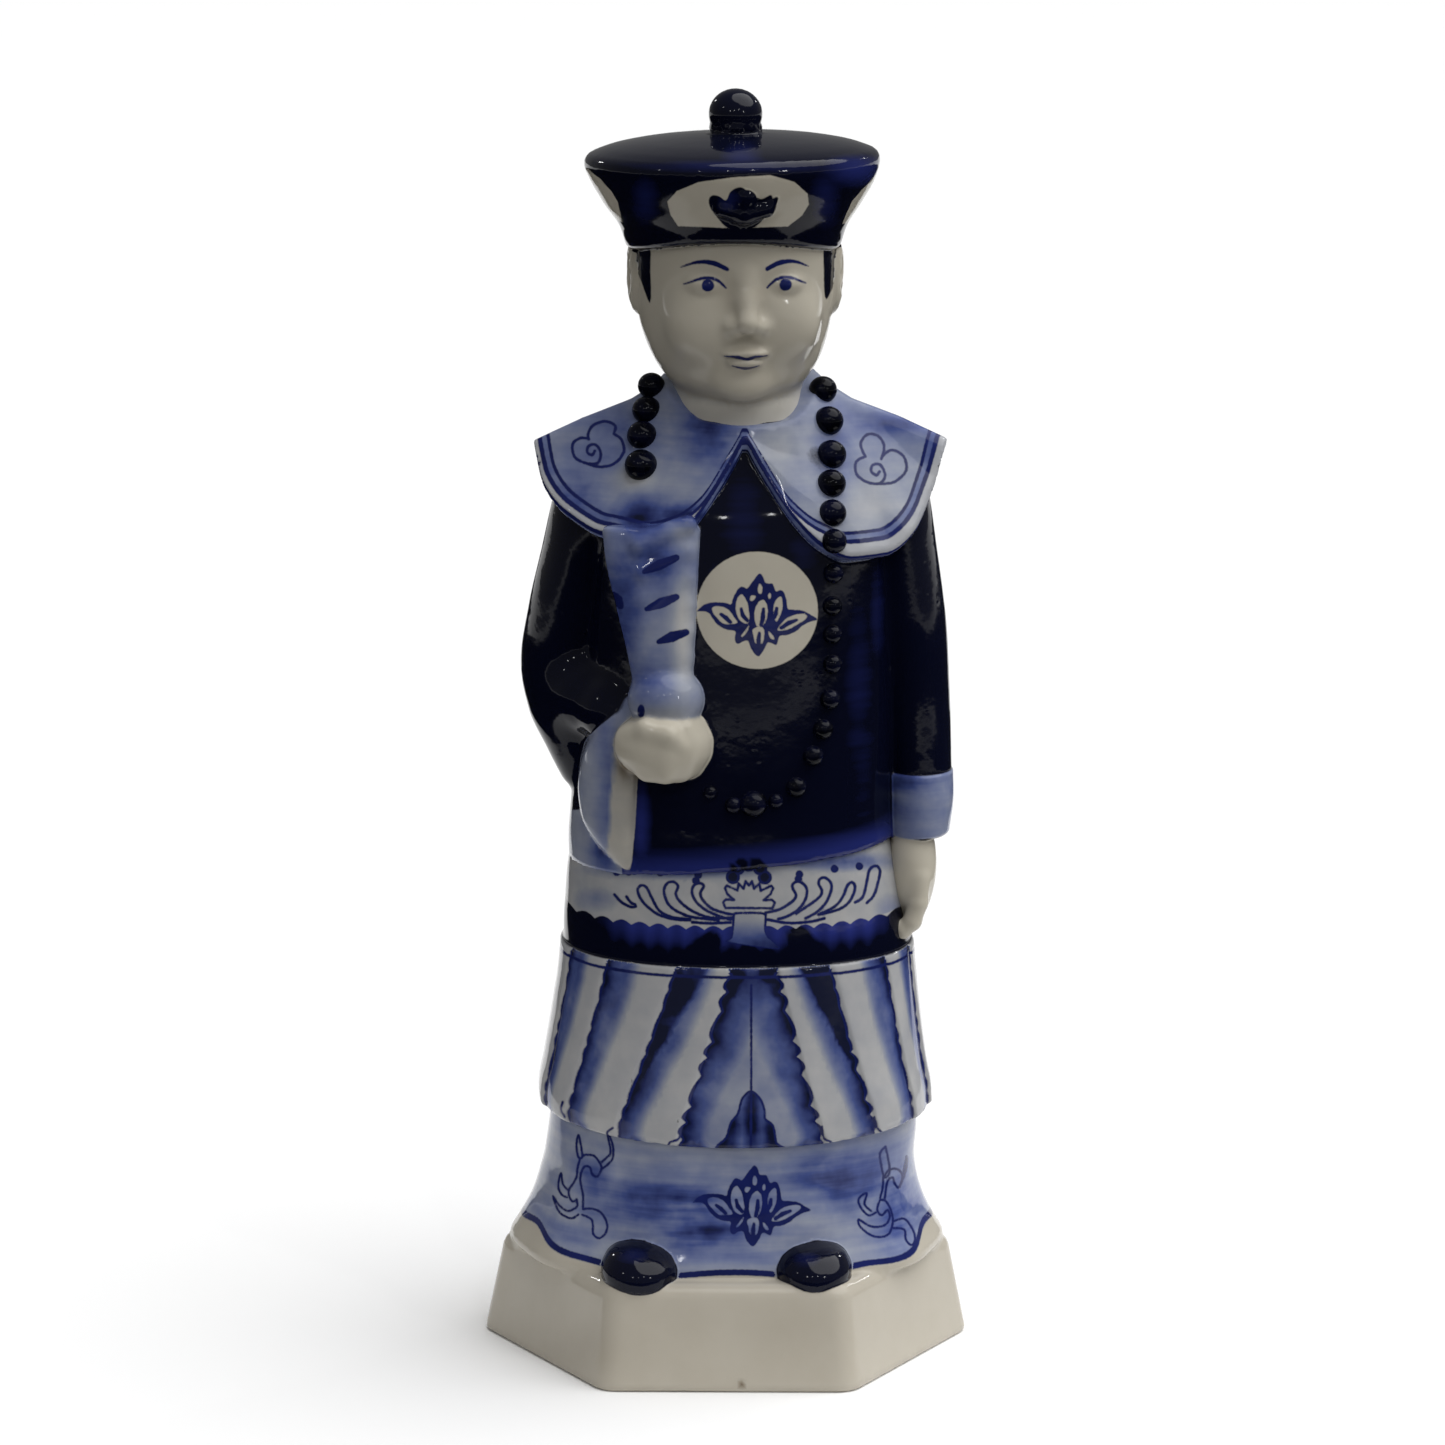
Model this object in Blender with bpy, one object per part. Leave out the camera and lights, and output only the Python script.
"""Standing robed figure with a flared court hat on a six-sided plinth, cast in one piece.

The plinth has its own sizes. Everything above it is a free form, whose pose and carving are
shares of the figure's height: P() turns the share coordinates used below (thousandths of a
270 high whole) into metres above the plinth. X is the viewer's right, -Y the front, +Z up.
"""

import math

import bmesh
import bpy
from mathutils import Vector
from mathutils.bvhtree import BVHTree

# Plinth sizes in metres
PLINTH_HEIGHT = 0.022
PLINTH_FOOT_RADIUS = 0.0523
PLINTH_TOP_RADIUS = 0.0478
PLINTH_CORNER_RADIUS = 0.006
PLINTH_EDGE_RADIUS = 0.0016

# Figure height from the plinth's top to the finial's top, in metres
FIGURE_HEIGHT = 0.248

# Share grid: a figure 248 high that starts at 22
SHARE_TOP = 270.0
SHARE_FLOOR = 22.0
UNIT = FIGURE_HEIGHT / (SHARE_TOP - SHARE_FLOOR)

# Carving, in shares
ROUNDNESS = 2.25
PLEAT_PAIRS = 4
PLEAT_DEPTH_HEM = 1.0
PLEAT_DEPTH_TOP = 0.45
COLLAR_EDGE = 2.4
BEAD_COLLAR = 2.9
BEAD_CHEST = 2.0
BEAD_DROP = 2.9
SHOE_SPREAD = 18.4
SHOE_MIDDLE = -1.2


def P(x, y, z):
    """Metres from share coordinates, standing on the plinth."""
    return Vector((x * UNIT, y * UNIT, PLINTH_HEIGHT + (z - SHARE_FLOOR) * UNIT))


def blend(a, b, t):
    return a + (b - a) * t


def smooth(t):
    t = min(max(t, 0.0), 1.0)
    return t * t * (3.0 - 2.0 * t)


def bump(x, centre, width):
    return math.exp(-((x - centre) / width) ** 2)


def oval(angle, half_x, half_y, power=ROUNDNESS):
    """Point of a superellipse at an angle in degrees from the front, positive to the right."""
    s = math.sin(math.radians(angle))
    c = math.cos(math.radians(angle))
    x = half_x * math.copysign(abs(s) ** (2.0 / power), s)
    y = -half_y * math.copysign(abs(c) ** (2.0 / power), c)
    return x, y


def between(rows, key):
    """Smooth interpolation of table rows, whose first value is the key."""
    if key <= rows[0][0]:
        return rows[0][1:]
    for low, high in zip(rows, rows[1:]):
        if key <= high[0]:
            t = (key - low[0]) / (high[0] - low[0])
            return tuple(blend(a, b, t) for a, b in zip(low[1:], high[1:]))
    return rows[-1][1:]


def new_object(name, bm):
    bmesh.ops.recalc_face_normals(bm, faces=bm.faces)
    mesh = bpy.data.meshes.new(name)
    bm.to_mesh(mesh)
    bm.free()
    thing = bpy.data.objects.new(name, mesh)
    bpy.context.scene.collection.objects.link(thing)
    return thing


def loft(name, rings):
    """Closed skin over rings with the same number of points, each end closed by a fan."""
    bm = bmesh.new()
    rows = [[bm.verts.new(p) for p in ring] for ring in rings]
    count = len(rows[0])
    for low, high in zip(rows, rows[1:]):
        for i in range(count):
            j = (i + 1) % count
            bm.faces.new((low[i], low[j], high[j], high[i]))
    for row in (rows[0], rows[-1]):
        middle = bm.verts.new(sum((v.co for v in row), Vector()) / count)
        for i in range(count):
            bm.faces.new((row[i], row[(i + 1) % count], middle))
    return new_object(name, bm)


def stack(name, rows, count, power=ROUNDNESS):
    """Level ovals: rows of height, half width, half depth, centre x and centre y."""
    rings = []
    for z, half_x, half_y, cx, cy in rows:
        ring = []
        for i in range(count):
            x, y = oval(360.0 * i / count, half_x, half_y, power)
            ring.append(P(cx + x, cy + y, z))
        rings.append(ring)
    return loft(name, rings)


def tube(name, rows, count, up=(0.0, 0.0, 1.0)):
    """Ovals across a path: rows of x, y, z, half size across and half size along 'up'."""
    centres = [Vector(row[:3]) for row in rows]
    rings = []
    for i, (x, y, z, across, along) in enumerate(rows):
        ahead = centres[min(i + 1, len(rows) - 1)] - centres[max(i - 1, 0)]
        side = ahead.cross(Vector(up)).normalized()
        top = side.cross(ahead).normalized()
        ring = []
        for k in range(count):
            angle = 2.0 * math.pi * k / count
            q = centres[i] + side * (across * math.cos(angle)) + top * (along * math.sin(angle))
            ring.append(P(*q))
        rings.append(ring)
    return loft(name, rings)


def blob(name, centre, radii, count=12, levels=6, lean=(0.0, 0.0)):
    """Ellipsoid; lean shifts it in x and y for each unit of height."""
    rows = []
    for k in range(1, 2 * levels):
        angle = math.pi * (k / (2 * levels) - 0.5)
        h = math.sin(angle)
        w = math.cos(angle)
        cx = centre[0] + lean[0] * h * radii[2]
        cy = centre[1] + lean[1] * h * radii[2]
        rows.append((centre[2] + h * radii[2], w * radii[0], w * radii[1], cx, cy))
    return stack(name, rows, count, 2.0)


def plinth():
    """Six-sided plinth with rounded corners, a flat underside and eased edges."""
    taper = (PLINTH_TOP_RADIUS - PLINTH_FOOT_RADIUS) / PLINTH_HEIGHT
    edge = PLINTH_EDGE_RADIUS
    levels = [(0.0, edge)]
    for share in (0.25, 0.6, 1.0):
        angle = share * math.pi / 2.0
        levels.append((edge * (1.0 - math.cos(angle)), edge * (1.0 - math.sin(angle))))
    for share in (1.0, 0.6, 0.25, 0.0):
        angle = share * math.pi / 2.0
        height = PLINTH_HEIGHT - edge * (1.0 - math.cos(angle))
        levels.append((height, edge * (1.0 - math.sin(angle))))
    rings = []
    for height, inset in levels:
        reach = PLINTH_FOOT_RADIUS + taper * height - inset
        corner = PLINTH_CORNER_RADIUS
        ring = []
        for k in range(6):
            for turn in (-30.0, -15.0, 0.0, 15.0, 30.0):
                a = math.radians(60.0 * k)
                b = math.radians(60.0 * k + turn)
                x = (reach - corner) * math.cos(a) + corner * math.cos(b)
                y = (reach - corner) * math.sin(a) + corner * math.sin(b)
                ring.append(Vector((x, y, height)))
        rings.append(ring)
    return loft("plinth_body", rings)


def lower_robe():
    """Flared under-robe with soft folds that deepen to the hem."""
    rows = [
        (20.5, 45.6, 36.4, 0.0),
        (22.2, 46.9, 37.4, 0.1),
        (24.9, 45.5, 36.6, 0.1),
        (27.6, 43.9, 35.4, 0.1),
        (31.0, 42.3, 34.3, 0.2),
        (36.0, 40.8, 33.3, 0.3),
        (41.0, 39.9, 32.8, 0.6),
        (47.0, 39.7, 32.8, 1.2),
        (55.0, 39.2, 32.6, 1.6),
    ]
    count = 40
    rings = []
    for z, half_x, half_y, cx in rows:
        depth = 0.9 * smooth((50.0 - z) / 28.0)
        ring = []
        for i in range(count):
            angle = 360.0 * i / count
            fold = 1.0 - depth * (0.5 + 0.5 * math.cos(math.radians(angle * 10.0))) / half_x
            x, y = oval(angle, half_x * fold, half_y * fold)
            ring.append(P(cx + x, y, z))
        rings.append(ring)
    return loft("lower_robe", rings)


def pleat_points():
    """Angles at the skirt's top and hem and the relief share of each point round the skirt."""
    half = [(0.0, 0.0, 0.95)]
    last = (0.0, 0.0)
    for k in range(PLEAT_PAIRS):
        top = 4.0 + 22.0 * k
        hem = 24.0 + 19.7 * k
        half.append((blend(last[0], top, 0.5), blend(last[1], hem, 0.5), 0.55))
        half.append((top - 0.5, hem - 0.5, 0.0))
        half.append((top + 0.9, hem + 0.9, 1.0))
        last = (top + 0.9, hem + 0.9)
    front = half + [(90.0, 90.0, 0.6)]
    quarter = front + [(180.0 - t, 180.0 - h, r) for t, h, r in reversed(front[1:-1])]
    mirrored = [(-t, -h, r) for t, h, r in reversed(quarter[1:])]
    return [(180.0, 180.0, 0.95)] + mirrored[1:] + quarter


def skirt():
    """Knife-pleated overskirt, its folds fanning out from the middle of the front and back."""
    rows = [
        (50.6, 38.0, 31.2, 1.9),
        (49.8, 40.7, 33.6, 1.9),
        (51.2, 42.1, 34.6, 1.9),
        (55.0, 42.2, 34.6, 1.6),
        (62.6, 41.0, 33.8, 1.6),
        (73.0, 39.5, 32.6, 1.75),
        (82.0, 38.4, 31.4, 1.9),
        (87.6, 37.9, 30.6, 1.9),
        (88.4, 36.6, 29.4, 1.9),
    ]
    points = pleat_points()
    rings = []
    for z, half_x, half_y, cx in rows:
        t = min(max((87.6 - z) / 37.0, 0.0), 1.0)
        depth = blend(PLEAT_DEPTH_TOP, PLEAT_DEPTH_HEM, t)
        ring = []
        for top, hem, relief in points:
            angle = blend(top, hem, t)
            grow = 1.0 + depth * (relief - 0.6) / half_x
            x, y = oval(angle, half_x * grow, half_y * grow)
            sag = 2.2 * (abs(x) / half_x) ** 2 * smooth((60.0 - z) / 8.0)
            ring.append(P(cx + x, y, z + sag))
        rings.append(ring)
    return loft("skirt", rings)


def sash():
    """Waist between the skirt and the jacket's hem."""
    rows = [
        (84.0, 36.0, 28.8, 1.7, 0.0),
        (88.0, 37.0, 30.0, 1.8, 0.0),
        (92.0, 37.0, 29.9, 1.7, 0.0),
        (97.0, 36.6, 29.5, 1.5, 0.0),
        (104.0, 35.8, 28.8, 1.2, 0.0),
        (114.0, 33.4, 27.2, 0.8, 0.0),
    ]
    return stack("sash", rows, 28)


JACKET = [
    (108.8, 33.8, 27.4, 0.8),
    (108.2, 34.9, 28.6, 0.8),
    (110.2, 35.4, 29.0, 0.8),
    (118.0, 34.8, 28.4, 0.9),
    (128.0, 34.4, 27.8, 1.2),
    (140.0, 34.0, 26.9, 1.4),
    (152.0, 33.4, 25.8, 1.6),
    (164.0, 32.8, 24.8, 1.8),
    (176.0, 32.0, 23.4, 2.0),
    (186.0, 30.2, 21.2, 2.1),
    (193.0, 27.0, 18.8, 2.1),
    (198.0, 22.0, 16.8, 2.1),
    (203.0, 16.5, 15.0, 2.0),
]


def jacket():
    """Short over-jacket, its hem a low step over the sash that rises to the right."""
    rings = []
    count = 32
    for z, half_x, half_y, cx in JACKET:
        ring = []
        for i in range(count):
            x, y = oval(360.0 * i / count, half_x, half_y)
            tilt = 0.09 * x * smooth((130.0 - z) / 20.0)
            ring.append(P(cx + x, y, z + tilt))
        rings.append(ring)
    return loft("jacket", rings)


def straight_arm():
    """Arm on the viewer's right, with its cuff and a half-closed hand."""
    sleeve = [
        (30.0, 1.5, 196.0, 3.0, 5.0),
        (32.0, 1.5, 191.0, 7.8, 8.2),
        (33.4, 1.2, 184.0, 8.7, 10.4),
        (34.4, 1.0, 176.0, 9.0, 11.6),
        (36.6, 0.4, 160.0, 9.1, 11.6),
        (38.5, -0.6, 144.0, 8.3, 11.0),
        (39.7, -2.2, 130.0, 7.6, 10.4),
        (40.3, -3.6, 119.0, 7.0, 9.8),
        (40.3, -4.2, 113.6, 6.8, 9.6),
        (40.2, -4.5, 111.6, 4.6, 6.4),
    ]
    cuff = [
        (39.8, -2.8, 125.8, 6.5, 9.0),
        (39.9, -3.0, 125.0, 7.8, 10.7),
        (40.3, -3.8, 119.0, 7.5, 10.4),
        (40.2, -4.4, 113.0, 7.0, 10.0),
        (40.1, -4.5, 112.2, 6.0, 8.6),
    ]
    pieces = [
        tube("sleeve_straight", sleeve, 14, (0.0, -1.0, 0.0)),
        tube("cuff_straight", cuff, 14, (0.0, -1.0, 0.0)),
        blob("palm_straight", (38.8, -7.4, 105.8), (5.3, 6.8, 12.0), 12, 4, (0.12, 0.1)),
    ]
    for k in range(4):
        y = -12.6 + 3.5 * k
        finger = [
            (40.4, y, 103.5, 2.0, 1.9),
            (39.9, y, 98.0, 2.3, 2.1),
            (38.6, y, 93.8, 2.2, 2.0),
            (36.8, y + 0.2, 91.8, 1.9, 1.8),
            (35.4, y + 0.4, 92.8, 1.2, 1.2),
        ]
        pieces.append(tube("finger_straight_%d" % k, finger, 6, (0.0, -1.0, 0.0)))
    return pieces


def bent_arm():
    """Arm on the viewer's left: sleeve bent at the elbow, with a long hanging cuff."""
    upper = [
        (-26.0, 1.5, 196.0, 3.0, 5.0),
        (-28.0, 1.5, 191.0, 7.6, 8.2),
        (-29.4, 1.5, 184.0, 8.2, 10.4),
        (-31.0, 2.0, 173.0, 9.0, 11.8),
        (-33.4, 2.6, 160.0, 9.5, 12.2),
        (-34.6, 2.6, 148.0, 10.0, 12.0),
        (-33.6, 1.4, 138.0, 9.4, 11.0),
        (-31.4, 0.0, 129.0, 7.4, 9.2),
        (-30.0, -1.0, 121.0, 4.6, 6.6),
    ]
    fore = [
        (-36.0, 6.0, 146.0, 4.4, 4.4),
        (-34.0, 1.0, 144.5, 8.4, 8.6),
        (-30.0, -7.0, 142.0, 7.8, 8.2),
        (-25.0, -14.0, 140.4, 6.6, 7.2),
        (-21.5, -18.0, 139.4, 4.8, 5.4),
    ]
    drape = [
        (143.0, -25.0, -15.0, -17.2, 6.0),
        (136.0, -29.6, -18.4, -17.0, 8.0),
        (130.0, -31.8, -19.8, -16.8, 8.0),
        (124.0, -32.6, -20.2, -16.6, 7.6),
        (118.0, -31.9, -20.4, -16.8, 7.2),
        (113.0, -29.0, -20.6, -17.6, 6.4),
        (109.8, -25.6, -20.8, -18.8, 5.0),
        (108.2, -23.4, -21.2, -20.2, 3.0),
    ]
    rings = []
    for z, left, right, cy, half_y in drape:
        ring = []
        for k in range(16):
            x, y = oval(360.0 * k / 16, 0.5 * (right - left), half_y, 3.2)
            ring.append(P(0.5 * (left + right) + x, cy + y - 0.42 * x, z))
        rings.append(ring)
    return [
        tube("sleeve_bent", upper, 14, (0.0, -1.0, 0.0)),
        tube("forearm", fore, 12),
        loft("hanging_cuff", rings),
    ]


def fist():
    """Closed hand with four finger rolls, under the swelling at the wrist."""
    pieces = [
        blob("fist_core", (-15.2, -25.6, 136.6), (9.8, 8.6, 9.0), 12, 4, (-0.1, 0.0)),
        blob("wrist_swell", (-14.6, -25.2, 145.0), (8.0, 7.6, 7.0), 12, 3),
    ]
    for k in range(4):
        z = 139.6 - 3.1 * k
        reach = (8.4, 9.2, 8.8, 7.2)[k]
        finger = [
            (-15.6 - 0.9 * reach, -25.0, z - 0.4, 1.2, 1.4),
            (-15.6 - 0.4 * reach, -30.4, z - 0.2, 1.9, 2.2),
            (-14.8, -32.0, z, 2.0, 2.3),
            (-15.4 + 0.6 * reach, -30.4, z + 0.3, 1.9, 2.2),
            (-15.2 + reach, -26.2, z + 0.5, 1.7, 2.0),
            (-15.0 + reach, -23.8, z + 0.5, 1.0, 1.2),
        ]
        pieces.append(tube("finger_bent_%d" % k, finger, 7))
    return pieces


def plume():
    """Sheaf of overlapping leaves held up by the fist, smooth on one side, wider at the top."""
    rings = []
    leaves = 5
    for k in range(leaves):
        for share, grow in ((0.0, 0.84), (0.6, 1.0), (0.94, 1.07)):
            t = (k + share) / leaves
            z = blend(149.0, 179.0, t)
            half = blend(6.2, 9.8, t)
            ring = []
            for i in range(14):
                a = 2.0 * math.pi * i / 14
                side = 0.5 + 0.5 * math.cos(a + 0.7)
                fit = 1.0 + (grow - 1.0) * side
                x = half * fit * math.cos(a)
                y = 4.8 * fit * math.sin(a)
                rise = 0.34 * max(x, 0.0)
                ring.append(P(blend(-15.0, -17.4, t) + x, blend(-24.6, -23.4, t) + y, z + rise))
            rings.append(ring)
    return loft("plume", rings)


# Collar edge, from the front slit to the back: degrees from the front, x reach, y, height
COLLAR_RIM = [
    (0.0, 0.6, -17.6, 197.6),
    (14.0, 4.6, -19.8, 191.5),
    (30.0, 10.4, -22.6, 183.6),
    (46.0, 16.4, -23.0, 178.6),
    (58.0, 23.0, -21.0, 175.8),
    (68.0, 30.0, -17.4, 176.0),
    (78.0, 37.2, -12.4, 180.4),
    (86.0, 42.2, -6.4, 188.0),
    (93.0, 43.9, -1.0, 196.0),
    (102.0, 41.6, 6.4, 192.6),
    (116.0, 34.8, 14.8, 187.0),
    (136.0, 24.0, 21.4, 181.0),
    (158.0, 12.0, 25.0, 177.6),
    (180.0, 0.0, 26.0, 176.6),
]
COLLAR_CENTRE = 2.1


def collar_edge(angle):
    """Reach, y and height of the collar's edge; it hangs higher over the raised arm."""
    reach, ey, ez = between(COLLAR_RIM, abs(angle))
    ez += 3.6 * bump(angle, -68.0, 22.0) - 0.4 * bump(angle, 90.0, 20.0)
    return math.copysign(reach, angle), ey, ez


def collar():
    """Wide pointed cape collar with a thick edge and a slit at the front."""
    angles = [row[0] for row in COLLAR_RIM]
    finer = []
    for low, high in zip(angles, angles[1:]):
        finer += [low, blend(low, high, 0.5)]
    finer.append(180.0)
    ring_angles = finer + [-a for a in reversed(finer[1:-1])]
    shells = ((0.0, 0.0), (0.25, -1.0), (0.62, -0.2), (1.0, 0.0))
    rings = []
    inner = []
    for a in ring_angles:
        x, y = oval(a, 10.0, 9.0, 2.0)
        inner.append(P(COLLAR_CENTRE + x, y, 214.0))
    rings.append(inner)
    for share, lift in shells:
        ring = []
        for a in ring_angles:
            ex, ey, ez = collar_edge(a)
            nx, ny = oval(a, 16.2, 15.4, 2.0)
            nz = 204.8 - 3.8 * math.cos(math.radians(a)) + 4.0 * smooth((abs(a) - 30.0) / 60.0)
            x = blend(nx, ex, share)
            y = blend(ny, ey, share)
            ring.append(P(COLLAR_CENTRE + x, y, blend(nz, ez, share) + lift))
        rings.append(ring)
    for drop, shrink in ((COLLAR_EDGE, 0.985), (COLLAR_EDGE + 1.4, 0.7)):
        ring = []
        for a in ring_angles:
            ex, ey, ez = collar_edge(a)
            ring.append(P(COLLAR_CENTRE + ex * shrink, ey * shrink, ez - drop))
        rings.append(ring)
    return loft("collar", rings)


def face_relief(angle, z):
    """Outward carving of a calm, evenly proportioned face, by angle from the front and height."""
    across = abs(angle)
    nose = 3.6 * bump(across, 0.0, 6.5) * smooth((233.0 - z) / 9.0) * smooth((z - 219.6) / 1.8)
    wings = 1.0 * bump(across, 10.0, 5.0) * bump(z, 221.6, 1.8)
    lips = 1.0 * bump(across, 0.0, 15.0) * bump(z, 215.8, 1.7)
    chin = 1.2 * bump(across, 0.0, 20.0) * bump(z, 209.6, 2.6)
    sockets = -1.5 * bump(across, 22.0, 11.0) * bump(z, 231.2, 3.0)
    lids = 0.7 * bump(across, 22.0, 7.0) * bump(z, 230.8, 1.6)
    cheeks = 0.6 * bump(across, 34.0, 14.0) * bump(z, 223.5, 5.0)
    return nose + wings + lips + chin + sockets + lids + cheeks


HEAD = [
    (203.8, 7.0, 6.0, 0.7, -3.6),
    (208.0, 13.0, 12.6, 0.7, -3.2),
    (210.0, 15.0, 14.8, 0.7, -2.6),
    (214.0, 17.6, 17.6, 0.7, -1.3),
    (216.0, 18.5, 18.6, 0.6, -0.8),
    (218.0, 19.2, 19.4, 0.6, -0.4),
    (220.0, 19.8, 20.0, 0.6, -0.1),
    (222.0, 20.2, 20.4, 0.5, 0.0),
    (228.0, 20.8, 21.2, 0.5, 0.0),
    (230.6, 20.9, 21.4, 0.5, 0.0),
    (233.0, 20.9, 21.5, 0.5, 0.0),
    (236.5, 20.9, 21.5, 0.4, 0.0),
    (246.0, 19.8, 20.2, 0.3, 0.0),
]


def head():
    """Head with a plain carved face, ears, neck and the low edge of the hair."""
    angles = [0, 5, 10, 16, 22, 28, 36, 46, 60, 80, 105, 130, 155, 180]
    ring_angles = angles + [-a for a in reversed(angles[1:-1])]
    rings = []
    for z, half_x, half_y, cx, cy in HEAD:
        ring = []
        for a in ring_angles:
            grow = 1.0 + face_relief(a, z) / half_y
            x, y = oval(a, half_x * grow, half_y * grow, 2.0)
            ring.append(P(cx + x, cy + y, z))
        rings.append(ring)
    neck_rows = [
        (194.0, 13.6, 12.6, 1.6, 0.0),
        (200.0, 14.4, 14.2, 1.6, -0.4),
        (204.0, 14.0, 14.2, 1.4, -0.4),
        (208.0, 13.6, 13.4, 1.2, 0.4),
        (216.0, 13.6, 13.0, 1.0, 1.6),
    ]
    hair_rows = [
        (215.0, 12.0, 9.0, 0.6, 8.0),
        (217.5, 16.0, 12.6, 0.6, 8.4),
        (222.0, 19.6, 14.4, 0.5, 8.0),
        (229.0, 21.3, 15.4, 0.5, 7.2),
        (236.0, 21.6, 15.8, 0.4, 6.8),
        (243.0, 21.0, 15.4, 0.3, 6.4),
    ]
    pieces = [loft("head_form", rings), stack("neck", neck_rows, 18, 2.0)]
    pieces.append(stack("hair", hair_rows, 22, 2.2))
    for side in (-1.0, 1.0):
        ear = (0.5 + side * 21.2, -0.4, 230.6)
        pieces.append(blob("ear_%d" % (side > 0), ear, (1.9, 3.6, 7.0), 8, 3, (side * 0.06, 0.1)))
    return pieces


HAT = [
    (236.8, 21.2, 21.6, 0.3, 0.0),
    (238.0, 22.8, 23.2, 0.3, 0.0),
    (241.5, 23.9, 24.2, 0.2, 0.0),
    (246.6, 27.0, 26.5, 0.0, 0.0),
    (251.6, 29.8, 28.8, 0.0, 0.0),
    (254.4, 30.7, 29.6, 0.0, 0.0),
    (256.4, 29.9, 28.9, 0.1, 0.0),
    (257.8, 26.6, 25.8, 0.2, 0.0),
    (259.4, 18.0, 17.4, 0.2, 0.0),
    (260.3, 8.0, 7.8, 0.3, 0.0),
]


def hat():
    """Flared court hat, its lower edge higher over the brow, with a badge and a knobbed finial."""
    count = 32
    rings = []
    for z, half_x, half_y, cx, cy in HAT:
        ring = []
        for i in range(count):
            angle = 360.0 * i / count
            x, y = oval(angle, half_x, half_y, 2.0)
            rise = 3.4 * smooth((244.0 - z) / 7.0) * max(0.0, math.cos(math.radians(angle))) ** 2
            tip = 0.022 * (x + 12.0) * smooth((z - 250.0) / 6.0)
            ring.append(P(cx + x, cy + y, z + rise + tip))
        rings.append(ring)
    finial_rows = [
        (257.6, 4.6, 4.6, 0.4, 0.0),
        (260.2, 5.9, 5.9, 0.4, 0.0),
        (260.9, 5.2, 5.2, 0.4, 0.0),
        (261.8, 5.8, 5.8, 0.4, 0.0),
        (263.4, 5.0, 5.0, 0.3, 0.0),
        (264.4, 5.5, 5.5, 0.3, 0.0),
        (266.0, 5.6, 5.6, 0.3, 0.0),
        (267.6, 5.0, 5.0, 0.4, 0.0),
        (269.2, 3.2, 3.2, 0.5, 0.0),
        (SHARE_TOP, 1.0, 1.0, 0.5, 0.0),
    ]
    pieces = [loft("hat_form", rings), stack("finial", finial_rows, 12, 2.0)]
    boat = [
        (-5.0, -26.6, 250.0, 0.7, 0.7),
        (-3.4, -27.0, 248.0, 1.6, 1.6),
        (1.2, -27.0, 247.0, 2.2, 2.5),
        (5.8, -27.0, 248.0, 1.6, 1.6),
        (7.4, -26.6, 250.0, 0.7, 0.7),
    ]
    pieces.append(tube("badge_boat", boat, 8))
    pieces.append(blob("badge_pearl", (1.2, -27.8, 250.4), (2.4, 2.0, 2.4), 8, 3))
    return pieces


def shoes():
    """Rounded shoe toes that come out from under the robe."""
    pieces = []
    for side in (-1.0, 1.0):
        cx = SHOE_MIDDLE + side * SHOE_SPREAD
        rows = [
            (20.4, 6.8, 7.8, cx, -33.8),
            (22.0, 8.0, 8.9, cx, -33.8),
            (24.0, 8.2, 9.0, cx, -33.4),
            (26.2, 7.4, 8.0, cx, -32.6),
            (28.1, 5.2, 5.8, cx, -31.6),
            (29.0, 2.4, 2.8, cx, -30.8),
        ]
        pieces.append(stack("shoe_%d" % (side > 0), rows, 14, 2.0))
    return pieces


# Necklace path, seen from the front: x, height and bead radius
STRAND_RIGHT = [
    (18.9, 206.0, BEAD_COLLAR),
    (21.0, 201.6, BEAD_COLLAR),
    (21.4, 190.0, BEAD_COLLAR),
    (21.6, 178.0, BEAD_COLLAR),
    (21.5, 168.0, BEAD_CHEST),
    (21.3, 152.0, BEAD_CHEST),
    (20.6, 140.0, BEAD_CHEST),
    (18.2, 132.0, BEAD_CHEST),
    (13.8, 126.6, BEAD_CHEST),
    (7.8, 123.2, BEAD_DROP),
    (1.0, 124.6, BEAD_CHEST),
    (-4.4, 129.0, BEAD_CHEST),
    (-7.0, 134.0, BEAD_CHEST),
]
STRAND_LEFT = [
    (-15.0, 206.0, BEAD_COLLAR),
    (-18.0, 201.6, BEAD_COLLAR),
    (-18.4, 192.0, BEAD_COLLAR),
    (-17.6, 184.0, BEAD_COLLAR),
]


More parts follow.
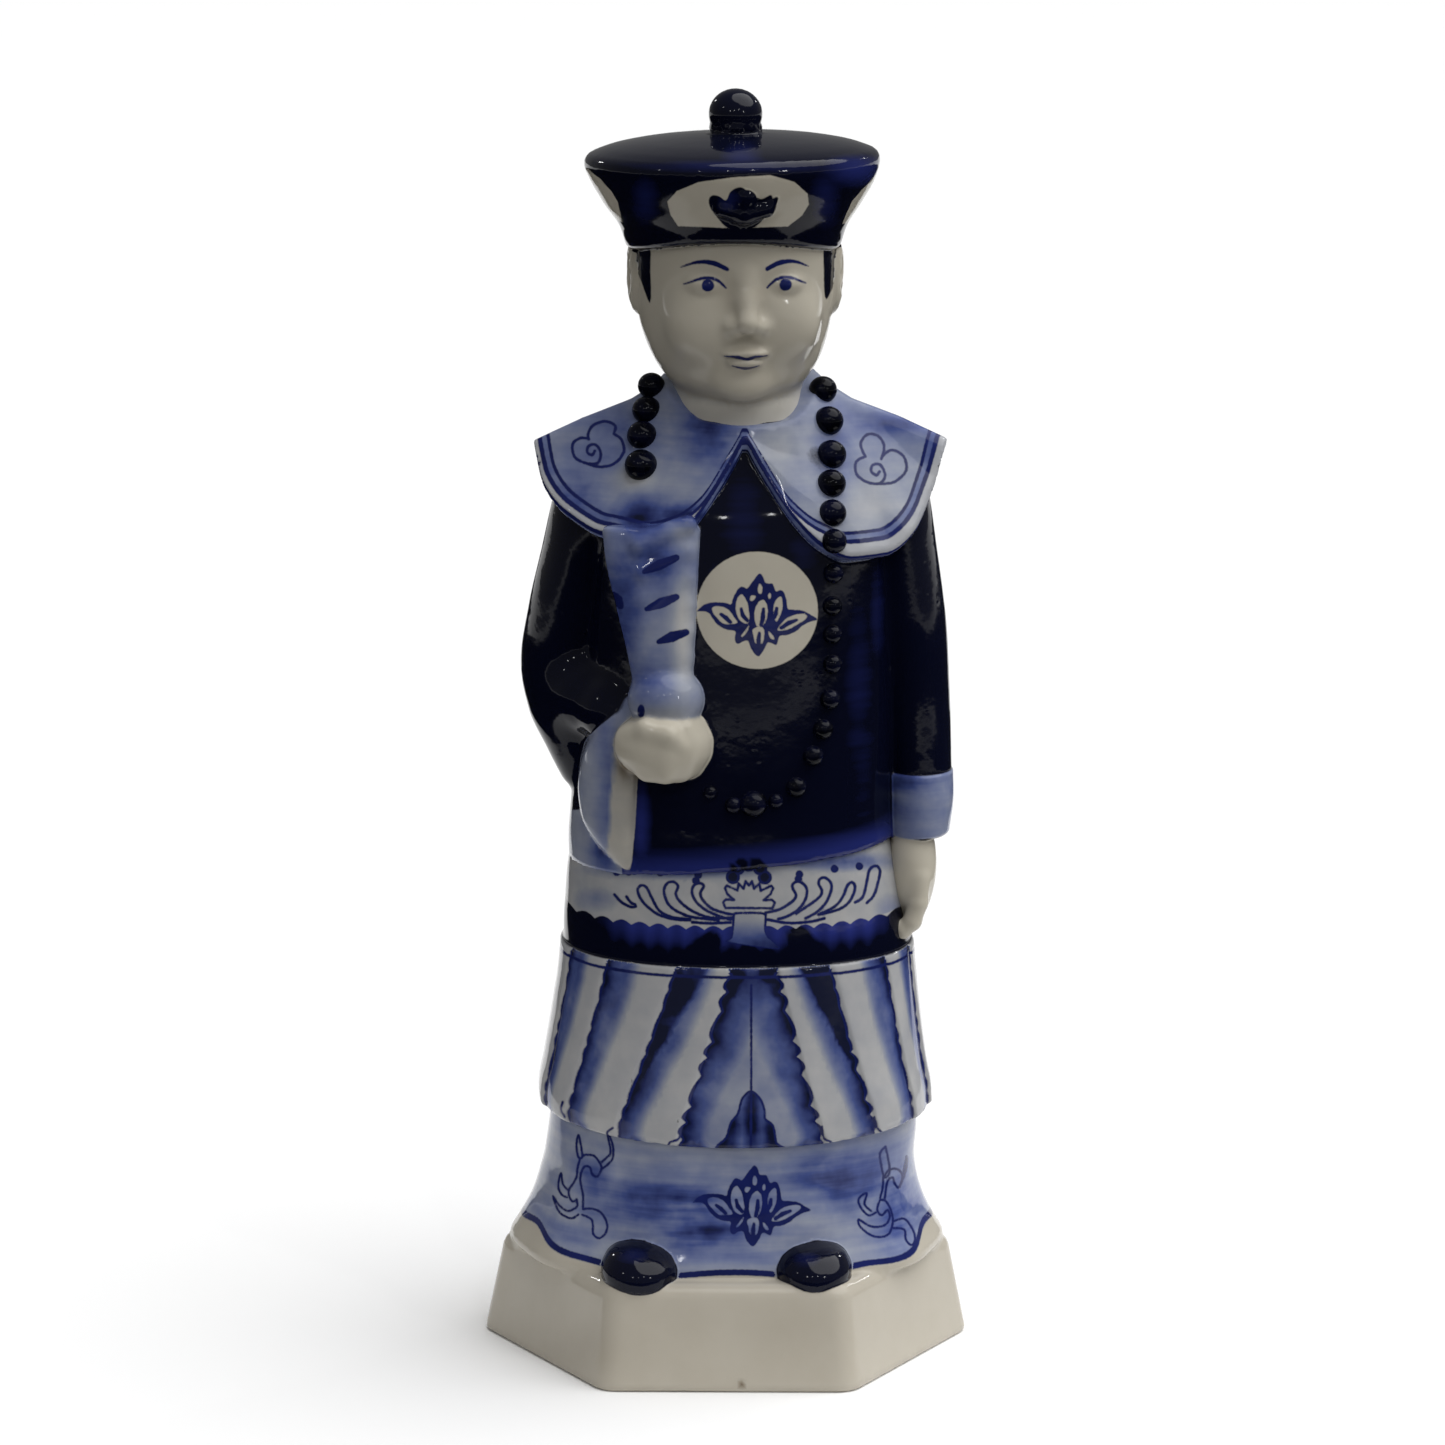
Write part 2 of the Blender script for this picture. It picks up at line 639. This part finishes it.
def beads(skins):
    """String of beads laid on the carving, each found by looking from the front."""
    trees = []
    for thing in skins:
        bm = bmesh.new()
        bm.from_mesh(thing.data)
        trees.append(BVHTree.FromBMesh(bm))
        bm.free()
    pieces = []
    for label, strand in (("right", STRAND_RIGHT), ("left", STRAND_LEFT)):
        travelled = 0.0
        wanted = 0.0
        for (xa, za, ra), (xb, zb, rb) in zip(strand, strand[1:]):
            length = math.hypot(xb - xa, zb - za)
            while wanted <= travelled + length:
                t = (wanted - travelled) / length
                x, z, radius = blend(xa, xb, t), blend(za, zb, t), blend(ra, rb, t)
                start = P(x, -100.0, z)
                hits = [tree.ray_cast(start, Vector((0.0, 1.0, 0.0)))[0] for tree in trees]
                depths = [hit.y / UNIT for hit in hits if hit is not None]
                name = "bead_%s_%d" % (label, len(pieces))
                centre = (x, min(depths) - 0.25 * radius, z)
                pieces.append(blob(name, centre, (radius,) * 3, 6, 2))
                wanted += 2.15 * radius
            travelled += length
    return pieces


def glaze():
    """Glossy transparent glaze over white porcelain."""
    material = bpy.data.materials.new("glazed_porcelain")
    material.use_nodes = True
    shader = material.node_tree.nodes["Principled BSDF"]
    shader.inputs["Base Color"].default_value = (0.72, 0.71, 0.68, 1.0)
    shader.inputs["Roughness"].default_value = 0.12
    shader.inputs["Metallic"].default_value = 0.0
    return material


def fuse(name, body, pieces):
    """One closed casting from overlapping forms; the forms stay as hidden guides."""
    guides = bpy.data.collections.new(name + "_forms")
    bpy.context.scene.collection.children.link(guides)
    for piece in pieces:
        bpy.context.scene.collection.objects.unlink(piece)
        guides.objects.link(piece)
        piece.hide_render = True
        piece.display_type = "WIRE"
    body.name = name
    union = body.modifiers.new("fuse", "BOOLEAN")
    union.operation = "UNION"
    union.operand_type = "COLLECTION"
    union.collection = guides
    union.solver = "EXACT"
    body.data.materials.append(glaze())
    return body


def figurine():
    body = plinth()
    over = [jacket(), collar()]
    pieces = [lower_robe(), skirt(), sash()] + over
    pieces += straight_arm() + bent_arm() + fist() + [plume()]
    pieces += head() + hat() + shoes() + beads(over)
    return fuse("figurine", body, pieces)


for old in list(bpy.data.objects):
    bpy.data.objects.remove(old, do_unlink=True)
figurine()
